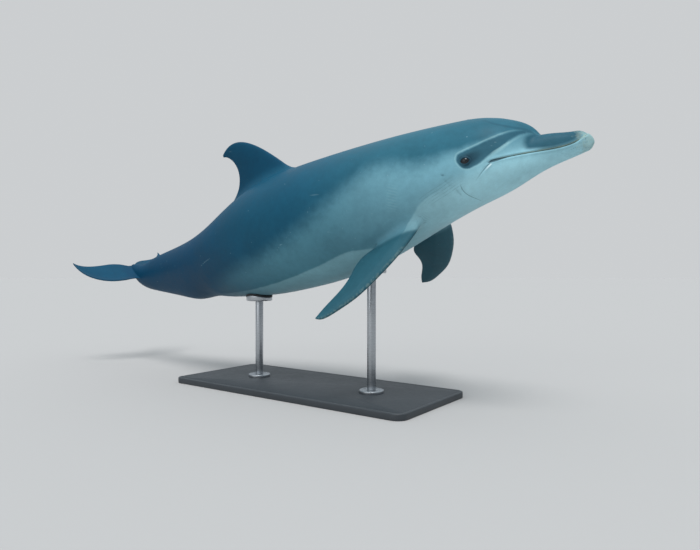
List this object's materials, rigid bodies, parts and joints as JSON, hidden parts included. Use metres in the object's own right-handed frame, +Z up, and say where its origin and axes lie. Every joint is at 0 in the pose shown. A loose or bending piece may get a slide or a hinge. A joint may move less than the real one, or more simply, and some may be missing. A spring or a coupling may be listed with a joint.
{
  "type": "bottlenose dolphin display model",
  "caption": "Life-size still model of a bottlenose dolphin, climbing with a slight bank, held by two rods on a flat display base.",
  "frame": {"origin": "centre of the underside of the stand's base, on the floor", "axes": "+X the way the dolphin heads, along the base; +Y the dolphin's left; +Z up"},
  "size_m": [2.4317, 0.6963, 0.9996],
  "materials": {
    "skin_cape": "smooth dark slate skin of the back, fins and flukes, softly glossy",
    "skin_flank": "smooth mid grey-blue skin of the sides, softly glossy",
    "skin_pale": "smooth pale grey skin of throat and lower jaw, softly glossy",
    "eye": "dark polished eye",
    "stand_paint": "satin charcoal paint",
    "stand_steel": "brushed along the rod",
    "stand_pad": "matt dark rubber"
  },
  "bodies": {
    "root": {"beak_upper": "skin_cape", "jaw_lower": "skin_pale", "head": "skin_flank", "neck": "skin_flank", "chest": "skin_flank", "abdomen": "skin_flank", "tail_stock_front": "skin_cape", "tail_stock_rear": "skin_cape", "dorsal_fin": "skin_cape", "flipper_right": "skin_cape", "flipper_left": "skin_cape", "fluke_right": "skin_cape", "fluke_left": "skin_cape", "eye_right": "eye", "eye_left": "eye", "stand_base": "stand_paint", "stand_flange_front": "stand_steel", "stand_rod_front": "stand_steel", "stand_saddle_front": "stand_pad", "stand_flange_rear": "stand_steel", "stand_rod_rear": "stand_steel", "stand_saddle_rear": "stand_pad"}
  },
  "joints": []
}
